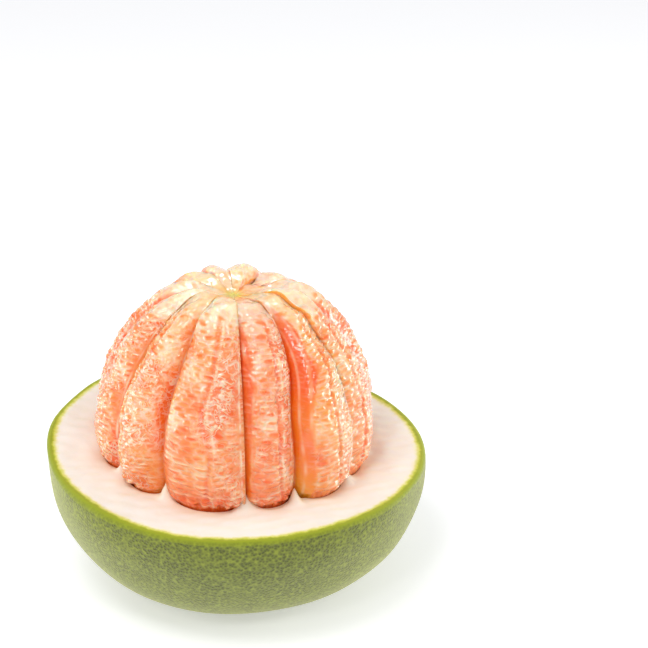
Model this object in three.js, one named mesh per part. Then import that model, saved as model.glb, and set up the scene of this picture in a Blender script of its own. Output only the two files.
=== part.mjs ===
// A half-peeled pomelo, standing in the lower part of its rind.
// The rind is one bowl: green skin outside, thick white pith inside, cut across at the rim.
// Twelve segments of flesh, stripped of their skins, stand in it round the fruit's axis.
// Millimetres, +Z up. The origin is on the fruit's axis, on the surface that it rests on.
// Angles run round the axis from the front (-Y) towards the right (+X).

import * as THREE from "three";

// Rind
const RIM_RADIUS = 75; // outside of the skin at the cut
const RIM_HEIGHT = 55; // the cut, above the resting surface
const RIM_DROP = 4.2; // the cut lies this much lower at the right and higher at the left
const RIM_LIFT = 1.9; // higher at the back and lower at the front
const RIM_TWIST = 1.6; // and, as it is cut by hand, lower at the front left and the back right
const FOOT_RADIUS = 22; // flat spot that carries the fruit
const WALL_FULLNESS = 2.19; // exponent of the wall's curve: 2 is an ellipse, more is fuller
const SKIN_ROUND = 1.5; // the skin's edge is rounded over by this much beside the cut
const PITH_DISH = 1.5; // the cut pith sinks this much on its way to the flesh
const NEST_GAP = 1; // room between the pith and the segments
const RIDGE_SHARE = 0.55; // how far the pith fills the grooves, as a share of their shoulders
const RIDGE_SHARPNESS = 4; // how much of that is close to the groove and to the mouth of the nest
const STUB_RISE = 4; // torn ends of the walls between segments, standing above the pith
const STUB_SHARPNESS = 10;
const BESIDE_FLESH = 4; // the pith's first ring beyond the flesh, half way down the dish
const UNDER_SKIN = 3; // and its last one, inside the rounded skin edge

// Flesh: the ball that the segments make together
const FLESH_RADIUS = 55;
const FLESH_MIDDLE = RIM_HEIGHT + 14; // height of its widest part
const FLESH_RISE = 64.5; // from the widest part up to the crown
const FLESH_DROP = 52; // and down to the base
const CROWN_TAPER = 1.46; // above 1 draws the ball in towards its end
const BASE_TAPER = 0.9;
const DIMPLE_DEPTH = 15; // hollow in the crown, where the segments meet
const DIMPLE_WIDTH = 15;
const HEART_RADIUS = 2; // within this distance of the axis all tops are equally high
const SIDE_GAP = 0.45; // each segment's share of the gap to its neighbour
const FACE_SHARE = 0.7; // share of a section's outline that is outer face and shoulders
const FACE_SQUARENESS = 0.85; // 1 gives elliptical shoulders, less gives squarer ones
const SHOULDER_LIMIT = 0.6; // shoulders never take more of a segment's depth than this
const LEAN_FROM = 82; // height at which segments' sides start to lean aside
const LEAN_TO = 118; // and at which they have leaned fully

// Juice sacs: low bumps across the bare outer faces, larger than life
const SAC_RISE = 1.5;
const SAC_SPACING = 0.5; // from bump to bump in a row, in the measure that runs round a section
const BARE_FROM = RIM_HEIGHT + 7; // no bumps below, where the pith holds the segment

// Steps of the surfaces
const RINGS_BELOW = 6; // rings of a segment that the rind hides
const RINGS_ABOVE = 22;
const AROUND = 16; // steps round a segment's section
const RIND_STEPS = 8; // steps round the rind, for each segment
const WALL_STEPS = 8; // down the outside of the rind
const NEST_STEPS = 5; // down the inside

const { degToRad, lerp, smoothstep } = THREE.MathUtils;

const RIND_COLOUR = "#84904f";
const PULP_COLOURS = ["#f4b083", "#f3a070", "#ee8f66"];

// One line for each segment: the angle of its left edge in degrees, the depth in millimetres of
// its rounded left and right shoulders, how far its side and its top stand out of the ball, how
// much fuller its upper part is than CROWN_TAPER makes it, and how many degrees its left side
// leans to the right towards the crown.
const SEGMENTS = [
  { from: -62, left: 6, right: 9, bulge: 0.5, top: 0, full: 0.05 },
  { from: -33, left: 5, right: 3.5, bulge: 0.6, top: 0, full: 0, lean: 2 },
  { from: 3, left: 4.5, right: 4, bulge: -1.2, top: -1, full: 0 },
  { from: 25, left: 11, right: 2, bulge: 0.8, top: -1.5, full: 0.15, lean: 10 },
  { from: 55.5, left: 2, right: 7, bulge: 0, top: -3, full: 0.38, lean: 3 },
  { from: 84, left: 8, right: 6, bulge: -0.6, top: -4.5, full: 0.4 },
  { from: 116, left: 6, right: 8, bulge: 0.5, top: -5.5, full: 0.2 },
  { from: 150, left: 8, right: 6, bulge: 0.8, top: 0.5, full: 0 },
  { from: 187, left: 6, right: 9, bulge: -0.8, top: -0.5, full: 0 },
  { from: 216, left: 7, right: 6, bulge: 0.4, top: -1, full: 0 },
  { from: 244, left: 6, right: 8, bulge: 0.4, top: -1.5, full: 0.06 },
  { from: 270, left: 8, right: 6, bulge: 1.1, top: -1, full: 0.06 },
].map((segment, i, all) => {
  const next = all[(i + 1) % all.length];
  const to = next.from + (i + 1 < all.length ? 0 : 360);
  const half = degToRad(to - segment.from) / 2;
  return {
    ...segment,
    half,
    middle: degToRad(segment.from) + half,
    edge: SIDE_GAP / Math.sin(half), // radius at which the two sides meet
    leans: [segment.lean ?? 0, next.lean ?? 0].map(degToRad),
  };
});

// The point forward from the axis at an angle, shifted sideways.
function place(angle, forward, side, height) {
  return new THREE.Vector3(
    Math.sin(angle) * forward + Math.cos(angle) * side,
    -Math.cos(angle) * forward + Math.sin(angle) * side,
    height,
  );
}

// Radius and height of the ball's outline at a latitude, from -90 at the base to 90 at the crown.
function ballOutline(latitude, { bulge = 0, top = 0, full = 0, edge = 0 }) {
  const crown = latitude > 0;
  const taper = Math.max(Math.cos(latitude), 0) ** (crown ? CROWN_TAPER - full : BASE_TAPER);
  const radius = lerp(edge, FLESH_RADIUS + bulge, taper);
  const dimple = DIMPLE_DEPTH * Math.exp(-((radius / DIMPLE_WIDTH) ** 2));
  const topThere = top * smoothstep(radius, HEART_RADIUS, DIMPLE_WIDTH);
  const rise = crown ? FLESH_RISE + topThere - dimple : FLESH_DROP;
  return { radius, height: FLESH_MIDDLE + rise * Math.sin(latitude) };
}

// A segment's middle, half its angle and its inner edge at a height: each side leans on its own.
function wedge({ middle, half, leans: [left, right] }, height) {
  const leaned = smoothstep(height, LEAN_FROM, LEAN_TO);
  const halfThere = half + (leaned * (right - left)) / 2;
  return {
    middle: middle + (leaned * (left + right)) / 2,
    half: halfThere,
    edge: SIDE_GAP / Math.sin(halfThere),
  };
}

// A point on a segment. across runs from -1 at the thin inner edge, out along the left side,
// over the outer face at 0, and back along the right side to the inner edge at 1.
function segmentPoint(segment, latitude, across) {
  const outer = ballOutline(latitude, segment);
  const base = ballOutline(-Math.PI / 2, segment).height;
  const crown = ballOutline(Math.PI / 2, segment).height;
  const innerHeight = lerp(base, crown, (1 + Math.sin(latitude)) / 2);
  const outward = outer.radius - segment.edge;
  const length = Math.hypot(outward, outer.height - innerHeight);
  const shoulder = Math.min(across < 0 ? segment.left : segment.right, SHOULDER_LIMIT * length);
  const shoulderStart = length > 0 ? 1 - shoulder / length : 0;
  let out; // 0 at the inner edge, 1 at the outer face
  let fullness = 1; // share of the wedge's width
  if (Math.abs(across) < FACE_SHARE) {
    const turn = ((Math.abs(across) / FACE_SHARE) * Math.PI) / 2;
    out = lerp(shoulderStart, 1, Math.cos(turn) ** FACE_SQUARENESS);
    fullness = Math.sin(turn) ** FACE_SQUARENESS;
  } else {
    out = (shoulderStart * (1 - Math.abs(across))) / (1 - FACE_SHARE);
  }
  const height = lerp(innerHeight, outer.height, out);
  const { middle, half, edge } = wedge(segment, height);
  const radius = edge + outward * out;
  const halfWidth = fullness * Math.max(radius * Math.sin(half) - SIDE_GAP, 0);
  const forward = Math.sqrt(radius ** 2 - halfWidth ** 2);
  return place(middle, forward, Math.sign(across) * halfWidth, height);
}

// Latitude of a ring: a few hidden in the rind, the rest over the bare part.
function ringLatitude(ring) {
  const rimLatitude = Math.asin((RIM_HEIGHT - FLESH_MIDDLE) / FLESH_DROP);
  return ring < RINGS_BELOW
    ? lerp(-Math.PI / 2, rimLatitude, ring / RINGS_BELOW)
    : lerp(rimLatitude, Math.PI / 2, (ring - RINGS_BELOW) / RINGS_ABOVE);
}

// Height of the juice sacs on a ring: every second ring is a row of bumps, and the rows alternate.
function sacRise(ring, across, height) {
  if (ring % 2 === 0 || height < BARE_FROM || Math.abs(across) >= FACE_SHARE) return 0;
  const wave = Math.cos(Math.PI * (across / SAC_SPACING + (ring % 4 === 1 ? 0 : 0.5)));
  return SAC_RISE * wave ** 2 * (1 - (across / FACE_SHARE) ** 2);
}

// One segment: a sphere's net of rings, with each vertex moved to its place on the segment.
function makeSegment(segment) {
  const rings = RINGS_BELOW + RINGS_ABOVE;
  const geometry = new THREE.SphereGeometry(1, AROUND, rings);
  const position = geometry.getAttribute("position");
  const belly = place(segment.middle, FLESH_RADIUS / 2, 0, FLESH_MIDDLE);
  for (let i = 0; i < position.count; i++) {
    const ring = rings - Math.floor(i / (AROUND + 1));
    const across = (2 * (i % (AROUND + 1))) / AROUND - 1;
    const point = segmentPoint(segment, ringLatitude(ring), across);
    const rise = sacRise(ring, across, point.z);
    const outward = point.clone().sub(belly).normalize();
    point.addScaledVector(outward, rise);
    position.setXYZ(i, point.x, point.y, point.z);
  }
  geometry.computeVertexNormals();
  return geometry;
}

// The cut, from the pith beside the flesh to the top of the rounded skin edge.
const PITH_RINGS = [
  { radius: FLESH_RADIUS + BESIDE_FLESH, sink: PITH_DISH / 2 },
  { radius: RIM_RADIUS - SKIN_ROUND - UNDER_SKIN, sink: 0 },
  { radius: RIM_RADIUS - SKIN_ROUND, sink: 0 },
];

// Height of the cut in a direction from the axis, at a distance from it.
function cutHeight(angle, radius) {
  const x = (Math.sin(angle) * radius) / RIM_RADIUS;
  const y = (-Math.cos(angle) * radius) / RIM_RADIUS;
  return RIM_HEIGHT - RIM_DROP * x + RIM_LIFT * y - 2 * RIM_TWIST * x * y;
}

// The segment that shares a groove with this one: on its left where u is below 0, or its right.
function neighbour(index, u) {
  return SEGMENTS[(index + (u < 0 ? -1 : 1) + SEGMENTS.length) % SEGMENTS.length];
}

// How far the pith reaches into the groove beside a segment, u being 0 at the segment's middle
// and 1 at its edge.
function ridgeDepth(index, u) {
  const segment = SEGMENTS[index];
  const beside = neighbour(index, u);
  const own = u < 0 ? segment.left : segment.right;
  const shared = (RIDGE_SHARE * (own + (u < 0 ? beside.right : beside.left))) / 2;
  return shared * Math.abs(u) ** ((RIDGE_SHARPNESS * shared) / (RIDGE_SHARE * own));
}

// The rind: a turned outline, from the foot up the outside to the rim and down into the nest,
// whose rings are then shaped to the segments and to the tilted cut.
function makeRind() {
  const columns = RIND_STEPS * SEGMENTS.length;
  const rings = NEST_STEPS + 1 + PITH_RINGS.length + WALL_STEPS + 1;
  const outline = Array(rings).fill(new THREE.Vector2(1, 0));
  const geometry = new THREE.LatheGeometry(outline, columns);
  const position = geometry.getAttribute("position");
  for (let i = 0; i < position.count; i++) {
    const step = rings - 1 - (i % rings);
    const column = Math.floor(i / rings) % columns;
    const point = rindPoint(step, column);
    position.setXYZ(i, point.x, point.y, point.z);
  }
  geometry.computeVertexNormals();
  return geometry;
}

// A point of the rind: step counts its rings from the middle of the nest to the middle of the foot.
function rindPoint(step, column) {
  const index = Math.floor(column / RIND_STEPS);
  const segment = SEGMENTS[index];
  const u = Math.sin(Math.PI * ((column % RIND_STEPS) / RIND_STEPS - 0.5));
  const angle = segment.middle + u * segment.half;
  if (step <= NEST_STEPS) return nestPoint(index, u, angle, step / NEST_STEPS);
  const onCut = step - NEST_STEPS - 1;
  if (onCut < PITH_RINGS.length) return pithPoint(angle, PITH_RINGS[onCut]);
  return wallPoint(angle, (onCut - PITH_RINGS.length) / WALL_STEPS);
}

// Inside wall, up from the base at 0 to its mouth at 1.
function nestPoint(index, u, angle, up) {
  const mouthHeight = cutHeight(angle, FLESH_RADIUS) - PITH_DISH;
  const mouth = Math.asin((mouthHeight - FLESH_MIDDLE) / FLESH_DROP);
  const shared = (SEGMENTS[index].bulge + neighbour(index, u).bulge) / 2;
  const bulge = lerp(SEGMENTS[index].bulge, shared, Math.abs(u) ** STUB_SHARPNESS);
  const outline = ballOutline(lerp(-Math.PI / 2, mouth, up), { bulge });
  const ridge = ridgeDepth(index, u) * up ** RIDGE_SHARPNESS;
  const radius = up > 0 ? outline.radius + NEST_GAP - ridge : 0;
  const stub = up === 1 ? STUB_RISE * Math.abs(u) ** STUB_SHARPNESS : 0;
  return place(angle, radius, 0, outline.height - NEST_GAP * (1 - up) + stub);
}

// A point on one of the cut's rings.
function pithPoint(angle, { radius, sink }) {
  return place(angle, radius, 0, cutHeight(angle, radius) - sink);
}

// Outside, down from the rounded skin edge at 0 to the middle of the flat foot at 1.
function wallPoint(angle, down) {
  if (down === 1) return place(angle, 0, 0, 0);
  const turn = (down * WALL_STEPS * Math.PI) / 2 / (WALL_STEPS - 1);
  const radius = lerp(FOOT_RADIUS, RIM_RADIUS, Math.max(Math.cos(turn), 0) ** (2 / WALL_FULLNESS));
  const share = 1 - Math.sin(turn) ** (2 / WALL_FULLNESS);
  const top = cutHeight(angle, RIM_RADIUS) - SKIN_ROUND;
  return place(angle, radius, 0, Math.max(top * share, 0));
}

function addPiece(group, name, geometry, colour, roughness) {
  const material = new THREE.MeshStandardMaterial({ color: colour, roughness, metalness: 0 });
  const mesh = new THREE.Mesh(geometry, material);
  mesh.name = name;
  group.add(mesh);
}

const pomelo = new THREE.Group();
addPiece(pomelo, "rind", makeRind(), RIND_COLOUR, 0.5);
SEGMENTS.forEach((segment, i) => {
  const colour = PULP_COLOURS[i % PULP_COLOURS.length];
  addPiece(pomelo, `segment_${String(i + 1).padStart(2, "0")}`, makeSegment(segment), colour, 0.25);
});

export default pomelo;
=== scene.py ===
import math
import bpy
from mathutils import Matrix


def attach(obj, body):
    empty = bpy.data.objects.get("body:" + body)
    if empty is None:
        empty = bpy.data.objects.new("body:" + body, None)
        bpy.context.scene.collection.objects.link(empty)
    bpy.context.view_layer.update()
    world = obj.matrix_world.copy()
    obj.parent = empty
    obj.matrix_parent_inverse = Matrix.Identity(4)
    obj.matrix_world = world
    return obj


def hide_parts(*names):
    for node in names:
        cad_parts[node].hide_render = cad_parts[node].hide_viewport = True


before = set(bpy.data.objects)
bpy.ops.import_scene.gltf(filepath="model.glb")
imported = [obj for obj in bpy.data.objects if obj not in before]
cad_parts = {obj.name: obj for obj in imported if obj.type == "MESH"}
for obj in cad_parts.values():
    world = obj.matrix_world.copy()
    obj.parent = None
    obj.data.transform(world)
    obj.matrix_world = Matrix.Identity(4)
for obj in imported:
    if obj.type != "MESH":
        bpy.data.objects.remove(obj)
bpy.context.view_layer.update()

# A half-peeled pomelo: twelve bare segments of flesh standing in a bowl of green rind.

from types import SimpleNamespace

import bpy
import numpy as np
from mathutils import Vector

bl_info = {
    "name": "Half-Peeled Pomelo",
    "version": (1, 0, 0),
    "blender": (4, 5, 0),
    "location": "3D View > Sidebar > Pomelo",
    "description": "Builds the juicy segments, the rind and the studio round them",
    "category": "Object",
}

MM = 0.001

# Angle of each segment's left side in degrees, from the front towards the right, and how far that
# side leans to the right towards the crown; the depth in millimetres of its left and right
# shoulders; how far its face and its top stand out of the ball; how much fuller its upper part
# is; how red its flesh is, yellow being below 0; how far across its face a furrow runs, from -1
# to 1; and how far its left and right shoulders are torn bare, from 0 to 1.
SEGMENTS = (
    (-62, 0, 6, 9, 0.5, 0, 0.05, -0.5, -0.4, 0, 0.25),
    (-33, 2, 5, 3.5, 0.6, 0, 0, 0.1, 0.15, 0.1, 0.3),
    (3, 0, 4.5, 4, -1.2, -1, 0, 0.35, 0.45, 0.9, 0),
    (25, 10, 11, 2, 0.8, -1.5, 0.15, -0.5, 0.3, 1, 0),
    (55.5, 3, 2, 7, 0, -3, 0.38, -0.2, -0.3, 0, 0.3),
    (84, 0, 8, 6, -0.6, -4.5, 0.4, 0.1, 0.4, 0.8, 0),
    (116, 0, 6, 8, 0.5, -5.5, 0.2, 0.4, -0.2, 0, 0.6),
    (150, 0, 8, 6, 0.8, 0.5, 0, -0.1, 0.3, 0, 0),
    (187, 0, 6, 9, -0.8, -0.5, 0, 0.3, -0.4, 0, 0.9),
    (216, 0, 7, 6, 0.4, -1, 0, -0.3, 0.1, 0.4, 0),
    (244, 0, 6, 8, 0.4, -1.5, 0.06, 0.2, 0.45, 0, 0.7),
    (270, 0, 8, 6, 1.1, -1, 0.06, -0.1, -0.25, 0.8, 0),
)
COLUMNS = (
    "start",
    "lean",
    "left",
    "right",
    "bulge",
    "top",
    "full",
    "red",
    "furrow",
    "bare_left",
    "bare_right",
)


def linear(text):
    """An sRGB hex colour as linear red, green, blue and full alpha."""
    parts = [int(text[i : i + 2], 16) / 255 for i in (1, 3, 5)]
    return tuple(c / 12.92 if c <= 0.04045 else ((c + 0.055) / 1.055) ** 2.4 for c in parts) + (1.0,)


def length(name, value, description):
    """A size in millimetres that the sidebar shows and a user may change."""
    return bpy.props.FloatProperty(name=name, description=description, default=value, min=0.0)


def colour(name, text, description):
    """A colour that the sidebar shows and a user may change."""
    return bpy.props.FloatVectorProperty(
        name=name, description=description, default=linear(text), size=4, subtype="COLOR", min=0, max=1
    )


class PomeloShape(bpy.types.PropertyGroup):
    """Sizes of the fruit in millimetres."""

    rim_radius: length("Rim radius", 75, "Outside of the skin at the cut")
    rim_height: length("Rim height", 55, "The cut, above the table")
    rim_drop: length("Rim drop", 4.2, "How much lower the cut lies at the right than in the middle")
    rim_lift: length("Rim lift", 1.9, "How much higher it lies at the back")
    rim_twist: length("Rim twist", 1.6, "How much lower it lies at the front left and the back right")
    foot_radius: length("Foot radius", 22, "Flat spot that the fruit stands on")
    wall_fullness: bpy.props.FloatProperty(
        name="Wall fullness",
        description="Exponent of the wall's curve; 2 is an ellipse",
        default=2.19,
        min=1,
    )
    skin_round: length("Skin rounding", 1.5, "How far the skin's edge is rounded over beside the cut")
    pith_dish: length("Pith dish", 1.5, "How far the cut pith sinks towards the flesh")
    flesh_radius: length("Flesh radius", 55, "Radius of the ball that the segments make")
    flesh_middle: length("Flesh middle", 69, "Height of the ball's widest part")
    flesh_rise: length("Flesh rise", 64.5, "From the widest part up to the crown")
    flesh_drop: length("Flesh drop", 52, "From the widest part down to the base")
    side_gap: length("Side gap", 0.02, "Each segment's share of the gap to its neighbour")
    sac_height: length("Sac height", 2.2, "A juice sac, up the segment")
    sac_width: length("Sac width", 6.0, "A juice sac, across the segment")
    sac_relief: length("Sac relief", 0.75, "How far a sac stands above its walls")


class PomeloColours(bpy.types.PropertyGroup):
    """Colours of the fruit."""

    cream: colour("Cream", "#fff3dc", "The palest pulp, at the crown")
    pulp_pale: colour("Pale pulp", "#ffdfc0", "Juice sacs that light shines through, and their walls")
    pulp_mid: colour("Pulp", "#f9995a", "Most juice sacs")
    pulp_deep: colour("Deep pulp", "#f06516", "Sacs in the shade of a groove")
    pulp_yellow: colour("Yellow pulp", "#f5a430", "What yellower segments lean to")
    pulp_red: colour("Red pulp", "#f25c38", "What redder segments lean to")
    # The heart is a painted yellow glow in the shaded hollow where the segments meet.
    heart: colour("Heart", "#ffc955", "Yellow spot where the segments meet at the crown")
    pith: colour("Pith", "#f9f7f1", "Spongy white of the cut rind")
    # Pith near the flesh: partly juice stain, partly a painted warm glow of light from the flesh.
    stain: colour("Stained pith", "#f2d6b6", "Pith that juice has wetted")
    flavedo: colour("Cut skin", "#98a516", "Bright line of skin seen in section")
    skin: colour("Skin", "#646c28", "Green outside of the rind")


class PomeloSettings(bpy.types.PropertyGroup):
    """All that a user would change."""

    shape: bpy.props.PointerProperty(type=PomeloShape)
    colours: bpy.props.PointerProperty(type=PomeloColours)


CROWN_TAPER = 1.46  # above 1 draws the ball in towards its end
BASE_TAPER = 0.9
DIMPLE_DEPTH = 15  # hollow in the crown, where the segments meet
DIMPLE_WIDTH = 15
TOP_FROM = 2  # nearer to the axis than this, all segments are equally high
SHOULDER_LIMIT = 0.6  # shoulders never take more of a segment's depth than this
CALM_LATITUDES = (0.5, 1.2)  # in radians; shoulders grow shallower from the first to the second
CROWN_CALM = 0.88  # and lose this share of their depth there
LEAN_FROM = 82  # height at which segments' sides start to lean aside
LEAN_TO = 118  # and at which they have leaned fully
TUCK = 1.4  # a segment's foot turns in by this much where it meets the pith
TUCK_REACH = 2.5  # and starts to turn this far above it
NOTCHES = 1.2  # depth of the notches between the sacs at a segment's foot
FACE_SHARE = 0.88  # share of a segment's columns that its outer face and shoulders take
FACE_SQUARENESS = 0.9  # 1 gives elliptical shoulders, less gives squarer ones
SHOULDER_SLOPE = 1.8  # more spreads the shoulders' fall over more of the face
CREASE_SLOPE = 3.2  # the same at the crown, where the creases are shallow
RINGS_HIDDEN = 0.1  # share of a segment's rings that the rind hides
PALE_LATITUDES = (0.72, 1.05)  # in radians; the flank turns into the crown between these
CROWN_SACS = 0.9  # sacs are larger by this share at the crown
JITTER = (0.26, 0.38)  # how far a sac's middle strays from its row, up and aside
SPLITS = 2  # times that each face of the plain ball is split in four
SHARP_ANGLE = math.radians(55)  # faces that meet at more than this are shaded apart


def segment_table(shape):
    """One dictionary for each segment, with its middle, half its angle and its sides' leans in
    radians, and the height of the cut there."""
    rows = [dict(zip(COLUMNS, row)) for row in SEGMENTS]
    for i, row in enumerate(rows):
        beside = rows[(i + 1) % len(rows)]
        end = beside["start"] + (360 if beside is rows[0] else 0)
        row["half"] = math.radians(end - row["start"]) / 2
        row["middle"] = math.radians(row["start"]) + row["half"]
        row["leans"] = math.radians(row["lean"]), math.radians(beside["lean"])
        row["steps"] = tuple(max(row["top"] - other["top"], 0) for other in (rows[i - 1], beside))
        row["cut"] = rim_height_at(shape, row["middle"], shape.flesh_radius)
    return rows


def rim_height_at(shape, angle, radius):
    """Height of the cut in a direction from the axis, at a distance from it."""
    x = np.sin(angle) * radius / shape.rim_radius
    y = -np.cos(angle) * radius / shape.rim_radius
    return shape.rim_height - shape.rim_drop * x + shape.rim_lift * y - 2 * shape.rim_twist * x * y


def smoothstep(low, high, values):
    """0 below low, 1 above high, and a smooth rise between."""
    t = np.clip((values - low) / (high - low), 0, 1)
    return t * t * (3 - 2 * t)


def ball_outline(shape, latitude, row, edge):
    """Radius and height of a segment's outer face at a latitude."""
    crown = latitude > 0
    taper = np.clip(np.cos(latitude), 0, 1) ** np.where(crown, CROWN_TAPER - row["full"], BASE_TAPER)
    radius = edge + (shape.flesh_radius + row["bulge"] - edge) * taper
    dimple = DIMPLE_DEPTH * np.exp(-((radius / DIMPLE_WIDTH) ** 2))
    top = row["top"] * smoothstep(TOP_FROM, DIMPLE_WIDTH, radius)
    rise = np.where(crown, shape.flesh_rise + top - dimple, shape.flesh_drop)
    return radius, shape.flesh_middle + rise * np.sin(latitude)


def wedge(shape, row, height):
    """Middle, half angle and inner edge of a segment at each height, each side with its own lean."""
    leaned = smoothstep(LEAN_FROM, LEAN_TO, height)
    left, right = row["leans"]
    half = row["half"] + leaned * (right - left) / 2
    return row["middle"] + leaned * (left + right) / 2, half, shape.side_gap / np.sin(half)


def segment_surface(shape, row, latitude, across):
    """Points of a segment in millimetres, with how far aside from the middle of its face each
    point lies, and how deep below that face.

    across runs from -1 at the thin inner edge, out along the left side, over the outer face at 0
    and back along the right side to the inner edge at 1.
    """
    edge = shape.side_gap / math.sin(row["half"])
    radius, height = ball_outline(shape, latitude, row, edge)
    above_cut = np.clip((height - row["cut"]) / TUCK_REACH, 0, 1)
    radius = radius - TUCK * (1 - np.sqrt(1 - (1 - above_cut) ** 2)) * smoothstep(0, 4 * TUCK, radius)
    base = ball_outline(shape, np.array(-math.pi / 2), row, edge)[1]
    crown = ball_outline(shape, np.array(math.pi / 2), row, edge)[1]
    inner = base + (crown - base) * (1 + np.sin(latitude)) / 2
    depth = np.hypot(radius - edge, height - inner)
    crown_share = smoothstep(*CALM_LATITUDES, latitude)
    calm = 1 - CROWN_CALM * crown_share
    own = np.where(across < 0, row["left"], row["right"]) * calm
    step = np.where(across < 0, *row["steps"]) * crown_share
    shoulder = np.minimum(own + step, SHOULDER_LIMIT * depth)
    start = 1 - shoulder / np.maximum(depth, 1e-9)
    on_face = np.abs(across) < FACE_SHARE
    turn = np.clip(np.abs(across) / FACE_SHARE, 0, 1) * math.pi / 2
    slope = SHOULDER_SLOPE + (CREASE_SLOPE - SHOULDER_SLOPE) * crown_share
    squareness = FACE_SQUARENESS + (1 - FACE_SQUARENESS) * crown_share
    out = np.where(
        on_face,
        start + (1 - start) * np.cos(turn) ** slope,
        start * (1 - np.abs(across)) / (1 - FACE_SHARE),
    )
    fullness = np.where(on_face, np.sin(turn) ** squareness, 1)
    tall = inner + (height - inner) * out
    middle, half, edge_there = wedge(shape, row, tall)
    reach = edge_there + (radius - edge) * out
    half_width = fullness * np.maximum(reach * np.sin(half) - shape.side_gap, 0)
    forward = np.sqrt(np.maximum(reach**2 - half_width**2, 0))
    side = np.sign(across) * half_width
    points = place(middle, forward, side, tall)
    sideways = np.sign(across) * (half_width + (1 - out) * depth)
    return points, sideways, (1 - out) * depth


def place(angle, forward, side, height):
    """Points forward from the axis at an angle, shifted sideways, as rows of x, y, z."""
    x = np.sin(angle) * forward + np.cos(angle) * side
    y = -np.cos(angle) * forward + np.sin(angle) * side
    return np.stack([x, y, height], axis=-1)


def crown_share_at(latitude):
    """0 on a segment's flank, 1 at the pale crown, where the sacs hardly show."""
    return smoothstep(*PALE_LATITUDES, latitude)


def sac_rows(shape, row, latitude):
    """How many rows of sacs lie below each latitude on the outer face; they grow near the crown."""
    steps = np.linspace(-math.pi / 2, math.pi / 2, 400)
    radius, height = ball_outline(shape, steps, row, 0.0)
    row_height = shape.sac_height * (1 + CROWN_SACS * crown_share_at(steps[1:]))
    counts = np.hypot(np.diff(radius), np.diff(height)) / row_height
    return np.interp(latitude, steps, np.concatenate([[0], np.cumsum(counts)]))


def cells(up, side, rng):
    """Juice sacs as jittered, staggered cells: each point's distance to its sac's wall, its sac's
    random number, and how far up and aside in the sac it lies."""
    rows, columns = np.floor(up).astype(int), np.floor(side).astype(int)
    low_row, low_column = rows.min() - 2, columns.min() - 3
    size = (rows.max() - low_row + 4, columns.max() - low_column + 5)
    jitter = rng.uniform(-1, 1, size + (2,)) * JITTER
    chance = rng.uniform(0, 1, size)
    best = np.full(up.shape, 9.0)
    second = np.full(up.shape, 9.0)
    sac = np.zeros(up.shape)
    lean = np.zeros(up.shape + (2,))
    for row_step in (-1, 0, 1):
        for column_step in (-2, -1, 0, 1, 2):
            row, column = rows + row_step, columns + column_step
            key = (row - low_row, column - low_column)
            seed_up = row + 0.5 + jitter[key][..., 0]
            seed_side = column + 0.5 + 0.5 * (row % 2) + jitter[key][..., 1]
            away = np.stack([up - seed_up, side - seed_side], axis=-1)
            distance = np.hypot(away[..., 0], away[..., 1])
            closer = distance < best
            second = np.where(closer, best, np.minimum(second, distance))
            sac = np.where(closer, chance[key], sac)
            lean = np.where(closer[..., None], away, lean)
            best = np.where(closer, distance, best)
    return second - best, sac, lean


def waves(points, scale, rng, count=7):
    """Smooth noise of about -1 to 1 made of a few plane waves, scale being a wave's length."""
    total = np.zeros(points.shape[0])
    for _ in range(count):
        direction = rng.normal(size=3)
        direction *= 2 * math.pi / (scale * rng.uniform(0.7, 1.5) * np.linalg.norm(direction))
        total += np.sin(points @ direction + rng.uniform(0, 2 * math.pi))
    return total / math.sqrt(count)


def unit_ball(name, columns, rings):
    """Adds a ball at the origin and returns it with its vertices' latitudes and longitudes.

    Longitude 0 is the front, and it grows towards the right.
    """
    bpy.ops.object.select_all(action="DESELECT")
    bpy.ops.mesh.primitive_uv_sphere_add(
        segments=columns // 2**SPLITS, ring_count=rings // 2**SPLITS, radius=1.0
    )
    ball = bpy.context.object
    ball.name = ball.data.name = name
    split = ball.modifiers.new("Split", "SUBSURF")
    split.subdivision_type = "SIMPLE"
    split.levels = split.render_levels = SPLITS
    bpy.ops.object.modifier_apply(modifier=split.name)
    places = np.empty(len(ball.data.vertices) * 3)
    ball.data.vertices.foreach_get("co", places)
    x, y, z = places.reshape(-1, 3).T
    return ball, np.arctan2(z, np.hypot(x, y)), np.arctan2(x, -y)


def normals_of(mesh):
    """The mesh's vertex normals as rows."""
    found = np.empty(len(mesh.vertices) * 3)
    mesh.vertex_normals.foreach_get("vector", found)
    return found.reshape(-1, 3)


def set_points(mesh, points):
    """Moves the mesh's vertices to points given in millimetres."""
    mesh.vertices.foreach_set("co", (points * MM).ravel())
    mesh.update()


def set_attribute(mesh, name, values):
    """Stores one number for each vertex, for the materials to read."""
    attribute = mesh.attributes.new(name, "FLOAT", "POINT")
    attribute.data.foreach_set("value", values.astype(np.float32))


def finish_piece(piece, material, nodes):
    """Shades the piece smooth, gives it its material and body, and hides the CAD parts that it
    replaces.
    """
    piece.data.shade_smooth()
    piece.data.set_sharp_from_angle(angle=SHARP_ANGLE)
    piece.data.materials.append(material)
    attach(piece, "root")
    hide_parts(*nodes)


def add_node(tree, kind, inputs=None, output=0, stops=(), **settings):
    """Adds a node with its settings, gives its inputs plain values or other nodes' outputs, and
    returns the output that is asked for.

    stops are a colour ramp's (place, colour) pairs, where a number stands for a grey.
    """
    node = tree.nodes.new("ShaderNode" + kind)
    for field, value in settings.items():
        setattr(node, field, value)
    for socket, value in (inputs or {}).items():
        if isinstance(value, bpy.types.NodeSocket):
            tree.links.new(value, node.inputs[socket])
        else:
            node.inputs[socket].default_value = value
    for i, (at, value) in enumerate(stops):
        element = node.color_ramp.elements[i] if i < 2 else node.color_ramp.elements.new(at)
        element.position = at
        element.color = value if hasattr(value, "__len__") else (value, value, value, 1)
    return node.outputs[output] if node.outputs else None


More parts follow.
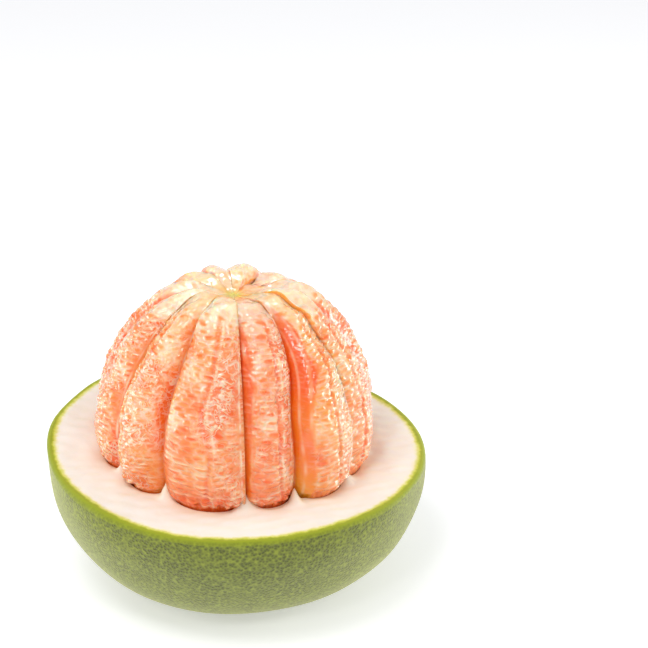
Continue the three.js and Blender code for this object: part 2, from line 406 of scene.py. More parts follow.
def new_material(name):
    """An empty node material with its tree."""
    material = bpy.data.materials.new(name)
    material.use_nodes = True
    material.node_tree.nodes.clear()
    return material, material.node_tree


CRINKLE_SIZE = 2 * MM  # of the fine folds in the sacs' skins
THREAD_SIZE = 3.4 * MM  # of the bends in the pale threads of crumpled flesh, raised membrane and painted highlights
MOTTLE = 0.28  # how much the crinkles vary the flesh's tone
REDDEST = 0.45  # share of the red pulp's colour in the reddest flesh
YELLOWEST = 0.5
GLAND_SIZE = 1.15 * MM  # of the skin's oil glands, a little coarser than real so that they show
SPECKLE_SIZE = 1.3 * MM  # of the fine uneven green over them
BLOTCH_SIZE = 9 * MM  # of paler patches of skin
GRAIN_SIZE = 3 * MM  # of the spongy pith's grain
RAGGED_SIZE = 2.5 * MM  # of the bends in the line between pith and skin
SKIN_DARK, SKIN_LIGHT = 0.5, 1.9  # the skin's colour is multiplied by these in and between pits
YELLOWER_HEIGHTS = (0.034, 0.052)  # in metres; the skin turns yellower from one to the other
YELLOWER = (1.0, 1.02, 0.2, 1.0)  # and is multiplied by this
SHEEN = (1.0, 1.0, 0.45, 1.0)  # yellowish bloom of the waxy skin
PITH_GRAIN = linear("#f5ecdc")
UNDER_SKIN = linear("#f3efb2")  # pith that turns green towards the skin
INNER_SKIN = linear("#cfd545")


def juicy_pulp(colours):
    """Bare citrus pulp: thin-skinned sacs full of juice, wet from peeling.

    The juice scatters light, so pale sacs glow; the grooves' deep orange, the warm glow at the crown
    and the shade near the rind are painted into the tone. The wet skins give small sharp highlights,
    some of them painted as pale streaks and threads, and the walls between sacs show as thin pale
    lines.
    """
    material, tree = new_material("Juicy pomelo pulp")
    coords = add_node(tree, "TexCoord", output="Object")
    tone, red, pale_lines, heart, crumple = (
        add_node(tree, "Attribute", output="Fac", attribute_name=name)
        for name in ("tone", "red", "pale", "heart", "crumple")
    )
    crinkle = add_node(
        tree,
        "TexNoise",
        {"Vector": coords, "Scale": 1 / CRINKLE_SIZE, "Detail": 2.0, "Distortion": 0.6},
    )
    winding = add_node(
        tree,
        "TexNoise",
        {"Vector": coords, "Scale": 1 / THREAD_SIZE, "Detail": 1.0, "Distortion": 1.2},
    )
    # Pale threads in crumpled flesh: raised membrane threads, with painted highlights of their wet
    # glints.
    threads = add_node(tree, "ValToRGB", {0: winding}, stops=((0.43, 0.0), (0.5, 1.0), (0.57, 0.0)))
    threads = add_node(tree, "Math", {0: threads, 1: crumple}, operation="MULTIPLY")
    shade = add_node(tree, "Math", {0: crinkle, 1: MOTTLE, 2: -MOTTLE / 2}, operation="MULTIPLY_ADD")
    depth = add_node(tree, "Math", {0: shade, 1: tone}, operation="ADD")
    pale, mid, deep = (tuple(c) for c in (colours.pulp_pale, colours.pulp_mid, colours.pulp_deep))
    tones = ((0.0, tuple(colours.cream)), (0.13, pale), (0.44, mid), (0.95, deep))
    flesh = add_node(tree, "ValToRGB", {0: depth}, stops=tones)
    redness = add_node(tree, "Math", {0: red, 1: REDDEST}, operation="MULTIPLY", use_clamp=True)
    yellowness = add_node(tree, "Math", {0: red, 1: -YELLOWEST}, operation="MULTIPLY", use_clamp=True)
    # The pale lines and threads hold painted highlights besides real walls and membrane, and the heart
    # is a painted yellow glow.
    layers = (
        (redness, tuple(colours.pulp_red)),
        (yellowness, tuple(colours.pulp_yellow)),
        (pale_lines, pale),
        (threads, pale),
        (heart, tuple(colours.heart)),
    )
    for share, tint in layers:
        flesh = add_node(tree, "Mix", {0: share, 6: flesh, 7: tint}, output=2, data_type="RGBA")
    relief = add_node(tree, "Math", {0: threads, 1: 0.8, 2: crinkle}, operation="MULTIPLY_ADD")
    normal = add_node(tree, "Bump", {"Height": relief, "Strength": 0.5, "Distance": 0.35 * MM})
    shader = add_node(
        tree,
        "BsdfPrincipled",
        {
            "Base Color": flesh,
            "Normal": normal,
            "Roughness": 0.2,
            "IOR": 1.36,
            "Subsurface Weight": 0.85,
            "Subsurface Radius": (1.0, 0.5, 0.2),
            "Subsurface Scale": 5 * MM,
            "Coat Weight": 1.0,
            "Coat Roughness": 0.1,
        },
    )
    add_node(tree, "OutputMaterial", {0: shader})
    return material


def green_skin(tree, coords, glands, colours):
    """Green skin, darker in the pits of its oil glands and yellower towards the cut."""
    plain = tuple(colours.skin)
    dark = tuple(c * SKIN_DARK for c in plain[:3]) + (1.0,)
    light = tuple(min(1.0, c * SKIN_LIGHT) for c in plain[:3]) + (1.0,)
    speckle = add_node(
        tree,
        "TexNoise",
        {"Vector": coords, "Scale": 1 / SPECKLE_SIZE, "Detail": 3.0, "Roughness": 0.7},
    )
    pitted = add_node(tree, "Mix", {0: 0.3, 6: glands, 7: speckle}, output=2, data_type="RGBA")
    green = add_node(tree, "ValToRGB", {0: pitted}, stops=((0.3, dark), (0.52, plain), (0.78, light)))
    blotch = add_node(tree, "TexNoise", {"Vector": coords, "Scale": 1 / BLOTCH_SIZE, "Detail": 4.0})
    paler = add_node(tree, "ValToRGB", {0: blotch}, stops=((0.4, 0.0), (0.75, 0.3)))
    green = add_node(tree, "Mix", {0: paler, 6: green, 7: light}, output=2, data_type="RGBA")
    height = add_node(tree, "SeparateXYZ", {0: coords}, output=2)
    low, high = YELLOWER_HEIGHTS
    inputs = {0: add_node(tree, "ValToRGB", {0: height}, stops=((low, 0.0), (high, 1.0)))}
    inputs.update({6: green, 7: YELLOWER})
    return add_node(tree, "Mix", inputs, output=2, data_type="RGBA", blend_type="MULTIPLY")


def cut_section(tree, coords, grain, skin, colours):
    """Pith cut with a knife: grainy white that juice has stained and a painted warm glow from the
    flesh tints, turning green at the skin.
    """
    ragged = add_node(tree, "TexNoise", {"Vector": coords, "Scale": 1 / RAGGED_SIZE, "Detail": 3.0})
    ragged = add_node(tree, "Math", {0: ragged, 1: 0.5, 2: -0.25}, operation="MULTIPLY_ADD")
    near_skin = ((0.0, 0.0), (0.02, 1.0), (0.8, 1.0), (0.9, 0.0))
    inside = add_node(tree, "ValToRGB", {0: skin}, stops=near_skin)
    ragged = add_node(tree, "Math", {0: ragged, 1: inside}, operation="MULTIPLY")
    band = add_node(tree, "Math", {0: skin, 1: ragged}, operation="ADD")
    # Juice stain and painted warm glow of light from the flesh, near the flesh.
    stain = add_node(tree, "Attribute", output="Fac", attribute_name="stain")
    grainy = add_node(tree, "ValToRGB", {0: grain}, stops=((0.3, 0.0), (0.8, 0.25)))
    layers = [(grainy, PITH_GRAIN), (stain, tuple(colours.stain))]
    bands = ((0.0, 0.35, UNDER_SKIN), (0.2, 0.55, INNER_SKIN), (0.5, 0.72, tuple(colours.flavedo)))
    for start, end, tint in bands:
        share = add_node(tree, "ValToRGB", {0: band}, stops=((start, 0.0), (end, 1.0)))
        layers.append((share, tint))
    section = tuple(colours.pith)
    for share, tint in layers:
        section = add_node(tree, "Mix", {0: share, 6: section, 7: tint}, output=2, data_type="RGBA")
    return section


def citrus_rind(colours):
    """Citrus rind: waxy green skin full of oil glands, over spongy white pith cut with a knife.

    The skin is a dull satin with fine pits, yellower beside the cut, its cut edge a bright
    yellow-green line, and the pith soft and matt with a faint grain.
    """
    material, tree = new_material("Pomelo skin and pith")
    coords = add_node(tree, "TexCoord", output="Object")
    skin = add_node(tree, "Attribute", output="Fac", attribute_name="skin")
    glands = add_node(
        tree, "TexVoronoi", {"Vector": coords, "Scale": 1 / GLAND_SIZE, "Randomness": 1.0}
    )
    grain = add_node(tree, "TexNoise", {"Vector": coords, "Scale": 1 / GRAIN_SIZE, "Detail": 5.0})
    section = cut_section(tree, coords, grain, skin, colours)
    green = green_skin(tree, coords, glands, colours)
    outside = add_node(tree, "ValToRGB", {0: skin}, stops=((0.83, 0.0), (0.95, 1.0)))
    whole = add_node(tree, "Mix", {0: outside, 6: section, 7: green}, output=2, data_type="RGBA")
    pits = add_node(tree, "ValToRGB", {0: glands}, stops=((0.0, 0.0), (0.45, 1.0)))
    relief = add_node(tree, "Mix", {0: outside, 6: grain, 7: pits}, output=2, data_type="RGBA")
    normal = add_node(tree, "Bump", {"Height": relief, "Strength": 0.6, "Distance": 0.25 * MM})
    rough = add_node(tree, "ValToRGB", {0: outside}, stops=((0.0, 0.85), (1.0, 0.45)))
    shader = add_node(
        tree,
        "BsdfPrincipled",
        {
            "Base Color": whole,
            "Normal": normal,
            "Roughness": rough,
            "IOR": 1.45,
            "Sheen Weight": 0.45,
            "Sheen Roughness": 0.5,
            "Sheen Tint": SHEEN,
            "Subsurface Weight": 0.2,
            "Subsurface Radius": (1.0, 0.8, 0.55),
            "Subsurface Scale": 3 * MM,
        },
    )
    add_node(tree, "OutputMaterial", {0: shader})
    return material


SEGMENT_COLUMNS = 112
SEGMENT_RINGS = 288
SEGMENT_SEED = 40  # of each segment's own random numbers, to which its number is added
SWELL_SEED = 5  # the same for all segments, so that they swell together
TIP_REACH = (3, 14)  # distances from the axis between which the sacs begin to show
GROOVE_DEPTHS = (1.5, 6)  # painted shade and glow: flesh turns deep orange between these depths below the face
OPEN_DEPTHS = (2, 6)  # and the sacs flatten between these
TORN_DEPTHS = (1.2, 2.6)  # torn shoulders begin between these
TORN_WIDEST = 102  # height at which the torn shoulders are widest
TORN_SPREAD = 14  # how far above and below it they are still wide
TORN_EXTRA = 1.7  # how much nearer to the face they begin there
FURROW_WIDTH = 1.0  # of the shallow furrow down each segment's face
FURROW_DEPTH = 0.7
HEART_RADIUS = 3.5  # of the painted yellow glow in the shaded hollow at the crown
WARM_RADIUS = 13.0  # of the painted warm glow round it
SHOULDER_MIDDLE = 85  # torn shoulders are redder above this height and yellower below
MEMBRANE_AT = 0.72  # place of the pale edge of membrane on a segment's right shoulder
RIB_SPACING = 3.5  # between the pale ribs on torn shoulders
PALE_WIDTH = 0.45  # of such a rib, and of the scrap of membrane beside the furrow
SCRAP_OFFSET = 1.8  # how far beside the furrow that scrap lies
SHADE_REACH = 45  # painted shade: flesh grows deeper in colour over this height down to the cut
FOOT_REACH = 8  # and, as painted shade at the foot, much deeper over this one

# Tones run from 0, the cream of the crown, to 1, the orange deep in a groove.
PLAIN_TONE = 0.27
SAC_TONE = 0.56  # added in the middle of a sac full of juice
LOW_TONE = 0.14  # painted shade, added towards the cut
FOOT_TONE = 0.35  # painted shade, added right above it
CRUMPLE_TONE = 0.22
# painted shade and glow of light through the juice, added deep in a groove
GROOVE_TONE = 0.4
FURROW_TONE = 0.3
CREASE_TONE = 0.25  # painted warm tone, added in the shade of the crown's creases
WARM_TONE = 0.28  # painted warm glow, added in the shade round the crown's middle
CROWN_PALER = 0.68  # share of its tone that flesh loses at the crown


def segment_latitude(shape, latitude):
    """Spreads a ball's rings over a segment: few where the rind hides it, more where it is bare."""
    rim = math.asin((shape.rim_height - shape.flesh_middle) / shape.flesh_drop)
    up = latitude / math.pi + 0.5
    hidden = -math.pi / 2 + (rim + math.pi / 2) * up / RINGS_HIDDEN
    bare = rim + (math.pi / 2 - rim) * (up - RINGS_HIDDEN) / (1 - RINGS_HIDDEN)
    return np.where(up < RINGS_HIDDEN, hidden, bare)


def outward_normals(mesh, shape, row, points, across):
    """The mesh's normals, turned along a segment's sides near them so that neighbours stay apart."""
    normals = normals_of(mesh)
    middle, half, _ = wedge(shape, row, points[:, 2])
    angle = middle + np.sign(across) * half
    sideways = place(angle, 0 * angle, 1 + 0 * angle, 0 * angle)
    near_side = smoothstep(0.6, 1, np.abs(across) / FACE_SHARE)
    return normals - sideways * (near_side * np.sum(normals * sideways, axis=1))[:, None]


def bell(values, width):
    """1 where values are 0, and a smooth fall on both sides of about this width."""
    return np.exp(-((values / width) ** 2))


def find_zones(row, points, latitude, across, sideways, depth, rng):
    """Where a segment's surface is bare, torn, crumpled and so on, each from 0 to 1, and each
    point's distance from the axis and from the furrow."""
    height = points[:, 2]
    off_axis = np.hypot(points[:, 0], points[:, 1])
    crown = crown_share_at(latitude)
    bare = smoothstep(row["cut"] - 2, row["cut"] + 3, height)
    tip = smoothstep(*TIP_REACH, off_axis)
    face = bare * tip * (1 - crown)
    bareness = np.where(across < 0, row["bare_left"], row["bare_right"])
    wide = TORN_EXTRA * bell(height - TORN_WIDEST, TORN_SPREAD) * bareness**4
    torn = smoothstep(*TORN_DEPTHS, depth + wide + 0.3 * waves(points, 14, rng)) * bareness

    width = np.maximum(np.sin(row["half"]) * off_axis, 1)
    from_furrow = sideways - (row["furrow"] + 0.08 * waves(points, 24, rng)) * width
    beside = smoothstep(0, 2, from_furrow) * smoothstep(0.3, 1.2, waves(points, 40, rng) + 0.9)
    crumple = np.clip(0.7 * beside + 0.5 * smoothstep(0.3, 1.3, waves(points, 18, rng)), 0, 1)
    return SimpleNamespace(
        off_axis=off_axis,
        crown=crown,
        bare=bare,
        tip=tip,
        face=face,
        groove=smoothstep(*GROOVE_DEPTHS, depth),
        open_face=1 - smoothstep(*OPEN_DEPTHS, depth),
        torn=torn,
        from_furrow=from_furrow,
        furrow=bell(from_furrow, FURROW_WIDTH) * face,
        crumple=crumple * face,
    )


def find_sacs(shape, row, points, latitude, sideways, zone, rng):
    """Each point's distance to its sac's wall, its sac's random number, its place in the sac, and
    how clearly the sacs show there."""
    up = sac_rows(shape, row, latitude) + (0.3 + 0.4 * zone.crumple) * waves(points, 26, rng)
    side = sideways / shape.sac_width + (0.2 + 0.3 * zone.crumple) * waves(points, 22, rng)
    wall, chance, lean = cells(up, side, rng)
    strength = zone.bare * zone.tip * (1 - 0.6 * zone.groove) * (1 - 0.7 * zone.torn)
    strength = strength * (1 - 0.75 * zone.crown)
    return SimpleNamespace(wall=wall, chance=chance, lean=lean, strength=strength)


def segment_rise(shape, row, points, across, zone, sacs, rng):
    """How far each point rises out of a segment's plain surface, in millimetres: over its sacs,
    over the broad swells that all segments share, and into the notches at its foot."""
    pillow = (1 - (1 - np.clip(sacs.wall / 0.7, 0, 1)) ** 2) ** 0.8
    tilt = 0.5 * (sacs.chance - 0.5) * sacs.lean[:, 0]
    tilt += 0.35 * (np.mod(sacs.chance * 7, 1) - 0.5) * sacs.lean[:, 1]
    relief = shape.sac_relief * (pillow * (0.75 + 0.5 * sacs.chance + tilt) - 0.5) * sacs.strength
    relief = relief - FURROW_DEPTH * zone.furrow
    shared = np.random.default_rng(SWELL_SEED)
    swell = 0.6 * waves(points, 30, shared) + 0.35 * waves(points, 12, shared)
    swell = (swell + 0.9 * zone.crown * waves(points, 14, shared)) * zone.tip * zone.bare
    near_foot = bell(points[:, 2] - row["cut"] - 1, 3)
    notches = NOTCHES * smoothstep(-0.3, 1.2, waves(points, 5, rng)) * near_foot
    inland = 1 - smoothstep(0.82, 1, np.abs(across) / FACE_SHARE)
    return (relief * inland + swell - notches) * zone.open_face


def flesh_tone(row, points, depth, crease, zone, sacs, rng):
    """Each point's tone, painted shade and glow included, and how much of a pale rib lies there on
    torn shoulders.
    """
    body = smoothstep(0.05, 0.6, sacs.wall)
    lens = np.exp(-((sacs.lean[:, 0] / 0.45) ** 2) - (sacs.lean[:, 1] / 0.75) ** 2)
    juice = 0.3 + 0.85 * smoothstep(0.3, 1, sacs.chance)
    # Painted shade: the flesh deepens towards the cut, and much more at the foot right above it.
    low = 1 - smoothstep(row["cut"], row["cut"] + SHADE_REACH, points[:, 2])
    foot = 1 - smoothstep(row["cut"], row["cut"] + FOOT_REACH, points[:, 2])
    tone = PLAIN_TONE + SAC_TONE * body * lens * juice + 0.12 * waves(points, 15, rng)
    tone = tone + LOW_TONE * low + CRUMPLE_TONE * zone.crumple
    # Painted shade and glow: flesh deep in a groove turns deep orange.
    tone = (tone + GROOVE_TONE * zone.groove) * (1 - CROWN_PALER * zone.crown)
    # The crown's creases take a painted warm tone in their shade.
    tone = tone + FURROW_TONE * zone.furrow + CREASE_TONE * crease * zone.crown
    from_rib = np.mod(depth, RIB_SPACING) - 1.7 - 0.5 * waves(points, 25, rng)
    rib = bell(from_rib, PALE_WIDTH) * zone.torn
    # Painted glow: torn bare shoulders take the deep orange of light shining through their sides, with
    # paler ribs.
    tone = np.maximum(tone, zone.torn * (1 - zone.crown) * (1 - 0.4 * rib))
    # Painted warm glow round the crown's middle, and painted shade at the foot.
    tone = tone + WARM_TONE * bell(zone.off_axis, WARM_RADIUS) + FOOT_TONE * foot
    return np.clip(tone, 0, 1), rib


def flesh_redness(row, points, crease, zone, rng):
    """How much redder each point is than plain pulp, or yellower below 0."""
    redness = row["red"] * (1 - 0.5 * zone.torn) + 0.25 * waves(points, 30, rng)
    redness = redness + 0.4 * zone.crumple
    shoulder = zone.torn * ((points[:, 2] - SHOULDER_MIDDLE) / 25 - 0.2)
    # Creases turn yellower: at the crown partly their yellow membrane, and everywhere painted light
    # that keeps their shade warm.
    return redness + (shoulder - 0.8 * crease * (0.5 + zone.crown))


def pale_marks(points, across, rib, zone, sacs, rng):
    """Where thin pale skin shows, the sacs' walls, ribs and scraps of membrane, and painted highlights
    along the sacs' upper edges.
    """
    broken = np.clip(0.6 + 0.6 * waves(points, 6, rng), 0, 1)
    walls = 0.42 * bell(sacs.wall, 0.13)
    # Painted highlight: a pale streak along the upper edge of some sacs.
    from_shine = sacs.lean[:, 0] - 0.27 + 0.4 * sacs.lean[:, 1] ** 2
    shine = bell(from_shine, 0.13) * (np.mod(sacs.chance * 3, 1) > 0.3)
    membrane = bell(across / FACE_SHARE - MEMBRANE_AT, 0.04)
    scrap = bell(zone.from_furrow - SCRAP_OFFSET, PALE_WIDTH)
    on_sacs = np.maximum(walls, 0.85 * shine) * sacs.strength
    on_face = (0.9 * membrane + 0.8 * scrap + 0.45 * rib) * zone.face
    return np.clip(np.maximum(on_sacs, on_face) * broken, 0, 1)


def build_segment(shape, row, number, material):
    """One segment, with its juice sacs raised on the mesh and their colours stored on it."""
    rng = np.random.default_rng(SEGMENT_SEED + number)
    name = f"segment_{number:02d}"
    piece, latitude, longitude = unit_ball("pulp_" + name, SEGMENT_COLUMNS, SEGMENT_RINGS)
    mesh = piece.data
    latitude = segment_latitude(shape, latitude)
    across = longitude / math.pi
    points, sideways, depth = segment_surface(shape, row, latitude, across)
    set_points(mesh, points)
    normals = outward_normals(mesh, shape, row, points, across)
    zone = find_zones(row, points, latitude, across, sideways, depth, rng)
    sacs = find_sacs(shape, row, points, latitude, sideways, zone, rng)
    rise = segment_rise(shape, row, points, across, zone, sacs, rng)
    set_points(mesh, points + normals * rise[:, None])

    share = np.abs(across) / FACE_SHARE
    crease = smoothstep(0.7, 0.97, share) * (np.abs(across) < FACE_SHARE + 0.02)
    tone, rib = flesh_tone(row, points, depth, crease, zone, sacs, rng)
    set_attribute(mesh, "tone", tone)
    set_attribute(mesh, "red", flesh_redness(row, points, crease, zone, rng))
    set_attribute(mesh, "pale", pale_marks(points, across, rib, zone, sacs, rng))
    set_attribute(mesh, "crumple", zone.crumple * (1 - zone.torn))
    # Painted glow: yellow in the shaded hollow where the segments meet.
    set_attribute(mesh, "heart", 0.8 * bell(zone.off_axis, HEART_RADIUS))
    finish_piece(piece, material, [name])


RIND_COLUMNS = 576
RIND_RINGS = 156
RIND_SEED = 7  # of the rind's random numbers
NEST_SHARE = 0.08  # share of the rind's rings inside the nest
CUT_SHARE = 0.34  # up to here they cross the cut
EDGE_SHARE = 0.42  # up to here they turn over the skin's edge
WALL_SHARE = 0.97  # up to here they go down the outside, and then across the foot
NEST_GAP = 0.3  # millimetres between the pith and the flesh
RIDGE_REACH = 6.5  # how deep the pith reaches into the grooves between segments
STUB_RISES = (3.5, 7.5)  # least and greatest rise of the torn ends of walls between segments
STUB_WIDTHS = (1.7, 3.4)
STUB_DEPTH = 2.8  # their thickness, outwards
CUT_CROWDING = 1.25  # above 1 crowds the cut's rings towards the flesh
BAND_FADE = 3.2  # the cut skin's green fades into the pith over this much
CUT_SKIN = 0.8  # what the stored nearness to the skin is where the cut meets it
EDGE_SKIN = 0.9  # and at the top of the outside
BRIGHT_EDGE = 0.5  # how far down the outside the bright line fades out
STAIN_AND_GLOW_REACH = 3.5  # juice stain and a painted warm glow from the flesh tint the pith this far from it
SCAR_DEPTH = 0.8  # hollow of the blossom end, under the fruit
SCAR_WIDTH = 5.0


def mouth_latitude(shape, angles):
    """Latitude on the flesh at which the pith meets it, in each direction."""
    height = rim_height_at(shape, angles, shape.flesh_radius) - shape.pith_dish
    return np.arcsin((height - shape.flesh_middle) / shape.flesh_drop)


def nest_mouth(shape, rows, angles):
    """Distance from the axis to the pith's inner edge: it follows each segment and fills the
    mouths of the grooves between them."""
    across = np.linspace(-FACE_SHARE, FACE_SHARE, 81)
    found_angles, found_reach = [], []
    for row in rows:
        latitude = mouth_latitude(shape, row["middle"] + row["half"] * across / FACE_SHARE)
        points, _, _ = segment_surface(shape, row, latitude, across)
        found_angles.append(np.arctan2(points[:, 0], -points[:, 1]))
        found_reach.append(np.hypot(points[:, 0], points[:, 1]))
    found_angles, found_reach = np.concatenate(found_angles), np.concatenate(found_reach)
    order = np.argsort(found_angles)
    reach = np.interp(angles, found_angles[order], found_reach[order], period=2 * math.pi) + NEST_GAP
    return np.maximum(reach, shape.flesh_radius - RIDGE_REACH)


def torn_walls(shape, rows, angles, beyond, rng):
    """Rise of the torn walls that stand between segments, beyond being the way out from the nest."""
    rise = np.zeros(angles.shape)
    for row in rows:
        gap_angle = math.radians(row["start"]) + rng.normal(0, 0.008)
        off = np.mod(angles - gap_angle + math.pi, 2 * math.pi) - math.pi
        wide = rng.uniform(*STUB_WIDTHS)
        rise += rng.uniform(*STUB_RISES) * np.exp(-np.abs(off * shape.flesh_radius / wide) ** 1.6)
    return rise * np.exp(-((beyond / STUB_DEPTH) ** 2))


def by_stretch(share, nest, cut, edge, wall, foot):
    """For each point, the value that goes with its stretch of the rind."""
    ends = [share <= NEST_SHARE, share <= CUT_SHARE, share <= EDGE_SHARE, share < WALL_SHARE]
    return np.select(ends, [nest, cut, edge, wall], foot)


def way_through(share, start, end):
    """0 up to the start of a stretch of the rind, 1 from its end, and evenly between."""
    return np.clip((share - start) / (end - start), 0, 1)


def rind_surface(shape, rows, share, angles, rng):
    """Points of the rind, with how near each lies to the skin and to the flesh, both 0 to 1.

    share runs from 0 in the middle of the nest, up its wall, over the cut and down the outside
    to 1 in the middle of the foot.
    """
    mouth = nest_mouth(shape, rows, angles)
    latitude = mouth_latitude(shape, angles)
    plain = {"bulge": 0, "top": 0, "full": 0}
    mouth_plain = ball_outline(shape, latitude, plain, 0.0)[0]
    in_nest = way_through(share, 0, NEST_SHARE)
    low_radius, low_height = ball_outline(
        shape, -math.pi / 2 + (latitude + math.pi / 2) * in_nest, plain, 0.0
    )
    on_cut = way_through(share, NEST_SHARE, CUT_SHARE) ** CUT_CROWDING
    over_edge = way_through(share, CUT_SHARE, EDGE_SHARE) * math.pi / 2
    down = way_through(share, EDGE_SHARE, WALL_SHARE) * math.pi / 2
    under = way_through(share, WALL_SHARE, 1)

    skin_start = shape.rim_radius - shape.skin_round
    cut_radius = mouth + (skin_start - mouth) * on_cut
    edge_radius = skin_start + shape.skin_round * np.sin(over_edge)
    wall_curve = np.clip(np.cos(down), 0, 1) ** (2 / shape.wall_fullness)
    wall_radius = shape.foot_radius + (shape.rim_radius - shape.foot_radius) * wall_curve
    nest_radius = low_radius * mouth / mouth_plain
    foot_radius = shape.foot_radius * (1 - under)
    radius = by_stretch(share, nest_radius, cut_radius, edge_radius, wall_radius, foot_radius)

    cut = rim_height_at(shape, angles, np.minimum(radius, shape.rim_radius))
    flat = place(angles, np.full(angles.shape, shape.rim_radius), 0 * angles, 0 * angles)
    ripple = 0.35 * waves(flat, 45, rng)
    beyond = radius - mouth
    stubs = torn_walls(shape, rows, angles, beyond, rng)
    cut_height = cut - shape.pith_dish * (1 - on_cut) ** 2 + ripple + stubs
    edge_height = cut + ripple - shape.skin_round * (1 - np.cos(over_edge))
    top = rim_height_at(shape, angles, shape.rim_radius) - shape.skin_round + ripple
    wall_height = top * (1 - np.sin(down) ** (2 / shape.wall_fullness))
    nest_height = low_height - NEST_GAP * (1 - in_nest) + in_nest**20 * (ripple + stubs)
    scar = SCAR_DEPTH * np.exp(-((radius / SCAR_WIDTH) ** 2))
    height = by_stretch(share, nest_height, cut_height, edge_height, wall_height, scar)
    from_skin = np.clip(1 - (skin_start - radius) / BAND_FADE, 0, 1)
    edge_skin = CUT_SKIN + (EDGE_SKIN - CUT_SKIN) * np.sin(over_edge)
    outer_skin = EDGE_SKIN + (1 - EDGE_SKIN) * smoothstep(0, BRIGHT_EDGE, top - wall_height)
    skin = by_stretch(share, 0 * share, CUT_SKIN * from_skin, edge_skin, outer_skin, outer_skin)
    # Juice stain and painted warm glow, fading away from the flesh.
    stain = np.where(share <= NEST_SHARE, 1, np.exp(-np.clip(beyond, 0, None) / STAIN_AND_GLOW_REACH))
    return place(angles, radius, 0 * angles, height), skin, np.where(share > CUT_SHARE, 0, stain)


def build_rind(shape, material):
    """The bowl of rind: green skin outside, pith inside, cut across, with the flesh's nest in it."""
    rng = np.random.default_rng(RIND_SEED)
    piece, latitude, longitude = unit_ball("pomelo_rind", RIND_COLUMNS, RIND_RINGS)
    share = 0.5 - latitude / math.pi
    points, skin, stain = rind_surface(shape, segment_table(shape), share, longitude, rng)
    set_points(piece.data, points)
    normals = normals_of(piece.data)
    steady = smoothstep(0, 9, points[:, 2])
    soft = (1 - skin) * smoothstep(NEST_SHARE, NEST_SHARE + 0.02, share)
    uneven = 0.45 * waves(points, 38, rng) * skin + 0.16 * waves(points, 5, rng) * soft
    set_points(piece.data, points + normals * (uneven * steady)[:, None])
    set_attribute(piece.data, "skin", skin)
    set_attribute(piece.data, "stain", stain)
    finish_piece(piece, material, ["rind"])


def soft_light(name, power, size, place_at, aim, spread):
    """A square studio softbox that faces a point; a grid on it may narrow its spread of degrees."""
    bpy.ops.object.light_add(type="AREA", location=place_at)
    light = bpy.context.object
    light.name = name
    light.data.shape = "SQUARE"
    light.data.size = size
    light.data.energy = power
    light.data.spread = math.radians(spread)
    light.rotation_euler = (Vector(aim) - Vector(place_at)).to_track_quat("-Z", "Y").to_euler()


FRUIT_MIDDLE = (0, 0, 0.07)
CROWN_MIDDLE = (0, 0.005, 0.12)
LIGHTS = (  # name, watts, size and place in metres, point that it faces, and spread in degrees
    ("key", 3.4, 0.4, (-0.25, -0.35, 0.95), FRUIT_MIDDLE, 180),
    ("left side", 1.9, 0.35, (-0.8, 0.2, 0.17), FRUIT_MIDDLE, 180),
    ("right side", 3.7, 0.4, (0.8, 0.2, 0.13), FRUIT_MIDDLE, 180),
    ("crown", 0.0042, 0.03, (0.03, 0.14, 0.6), CROWN_MIDDLE, 9),
    ("front left", 1.2, 0.18, (-0.3, -0.8, 0.75), FRUIT_MIDDLE, 180),
    ("front right", 0.9, 0.15, (0.35, -0.75, 0.75), FRUIT_MIDDLE, 180),
)
WHITE = (1, 1, 1, 1)
ROOM_LIGHT = 0.5
FLOOR_SIZE = 20.0  # in metres, so that its far edge stays out of the picture
FLOOR_GLOW = 0.41
CAMERA_ELEVATION = math.radians(28)
CAMERA_DISTANCE = 0.75  # from the middle of the rim
CAMERA_PITCH = math.radians(24.47)  # below the horizon
CAMERA_TURN = math.radians(2.99)  # to the right, which leaves the fruit left of the middle
CAMERA_LENS = 104.3
CAMERA_SENSOR = 36


def build_floor():
    """A plain white floor, which also glows a little so that it stays white away from the fruit."""
    bpy.ops.mesh.primitive_plane_add(size=FLOOR_SIZE)
    floor = bpy.context.object
    floor.name = "floor"
    material, tree = new_material("White studio floor")
    shader = add_node(
        tree,
        "BsdfPrincipled",
        {
            "Base Color": linear("#eff0f4"),
            "Roughness": 0.7,
            "Emission Color": WHITE,
            "Emission Strength": FLOOR_GLOW,
        },
    )
    add_node(tree, "OutputMaterial", {0: shader})
    floor.data.materials.append(material)


def build_lights():
    """A large soft key from above on the left, others at the sides and in front, a small one on the
    crown, and a white room."""
    for light in LIGHTS:
        soft_light(*light)
    world = bpy.context.scene.world or bpy.data.worlds.new("Studio")
    bpy.context.scene.world = world
    world.use_nodes = True
    world.node_tree.nodes.clear()
    room = add_node(world.node_tree, "Background", {"Color": WHITE, "Strength": ROOM_LIGHT})
    add_node(world.node_tree, "OutputWorld", {0: room})
    bpy.context.scene.view_settings.view_transform = "Standard"


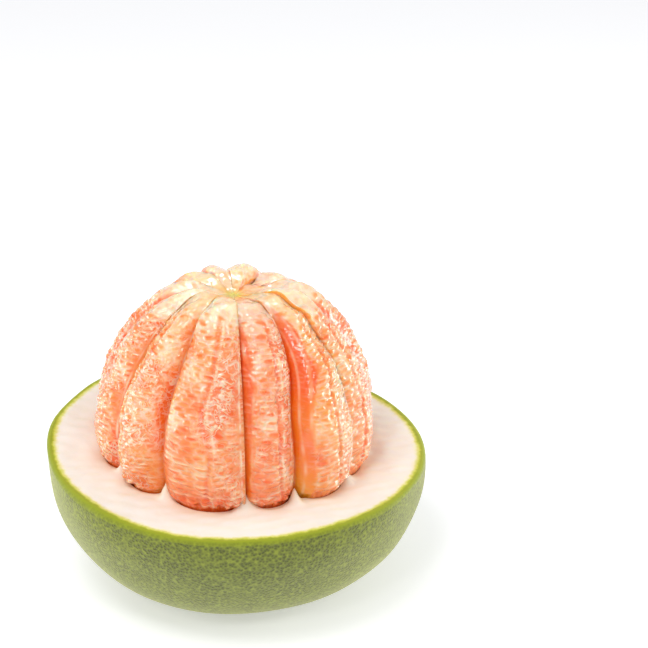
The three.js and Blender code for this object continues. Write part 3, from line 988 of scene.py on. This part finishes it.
def build_camera(scene):
    """The camera, at the height and distance that fit the rim's ellipse in the picture."""
    rim = Vector((0, 0, scene.pomelo.shape.rim_height * MM))
    away = Vector((0, -math.cos(CAMERA_ELEVATION), math.sin(CAMERA_ELEVATION)))
    turn = (math.pi / 2 - CAMERA_PITCH, 0, -CAMERA_TURN)
    bpy.ops.object.camera_add(location=rim + CAMERA_DISTANCE * away, rotation=turn)
    camera = bpy.context.object
    camera.data.lens = CAMERA_LENS
    camera.data.sensor_width = CAMERA_SENSOR
    camera.data.clip_start = 0.05
    scene.camera = camera


class POMELO_OT_segments(bpy.types.Operator):
    """Builds the twelve bare segments of flesh"""

    bl_idname = "pomelo.segments"
    bl_label = "Build Segments"

    def execute(self, context):
        settings = context.scene.pomelo
        material = juicy_pulp(settings.colours)
        for number, row in enumerate(segment_table(settings.shape), 1):
            build_segment(settings.shape, row, number, material)
        return {"FINISHED"}


class POMELO_OT_rind(bpy.types.Operator):
    """Builds the bowl of skin and pith"""

    bl_idname = "pomelo.rind"
    bl_label = "Build Rind"

    def execute(self, context):
        settings = context.scene.pomelo
        build_rind(settings.shape, citrus_rind(settings.colours))
        return {"FINISHED"}


class POMELO_OT_stage(bpy.types.Operator):
    """Builds the pale floor, the soft lights and the camera"""

    bl_idname = "pomelo.stage"
    bl_label = "Build Stage"

    def execute(self, context):
        build_floor()
        build_lights()
        build_camera(context.scene)
        return {"FINISHED"}


class POMELO_PT_panel(bpy.types.Panel):
    """Shows the fruit's sizes, colours and builders in the sidebar"""

    bl_label = "Half-Peeled Pomelo"
    bl_space_type = "VIEW_3D"
    bl_region_type = "UI"
    bl_category = "Pomelo"

    def draw(self, context):
        settings = context.scene.pomelo
        for group in (settings.shape, settings.colours):
            box = self.layout.box()
            for name in group.__annotations__:
                box.prop(group, name)
        for operator in (POMELO_OT_segments, POMELO_OT_rind, POMELO_OT_stage):
            self.layout.operator(operator.bl_idname)


CLASSES = (
    PomeloShape,
    PomeloColours,
    PomeloSettings,
    POMELO_OT_segments,
    POMELO_OT_rind,
    POMELO_OT_stage,
    POMELO_PT_panel,
)


def register():
    for made in CLASSES:
        bpy.utils.register_class(made)
    bpy.types.Scene.pomelo = bpy.props.PointerProperty(type=PomeloSettings)


def unregister():
    del bpy.types.Scene.pomelo
    for made in reversed(CLASSES):
        bpy.utils.unregister_class(made)


def main():
    register()
    bpy.ops.pomelo.segments()
    bpy.ops.pomelo.rind()
    bpy.ops.pomelo.stage()


if __name__ == "__main__":
    main()
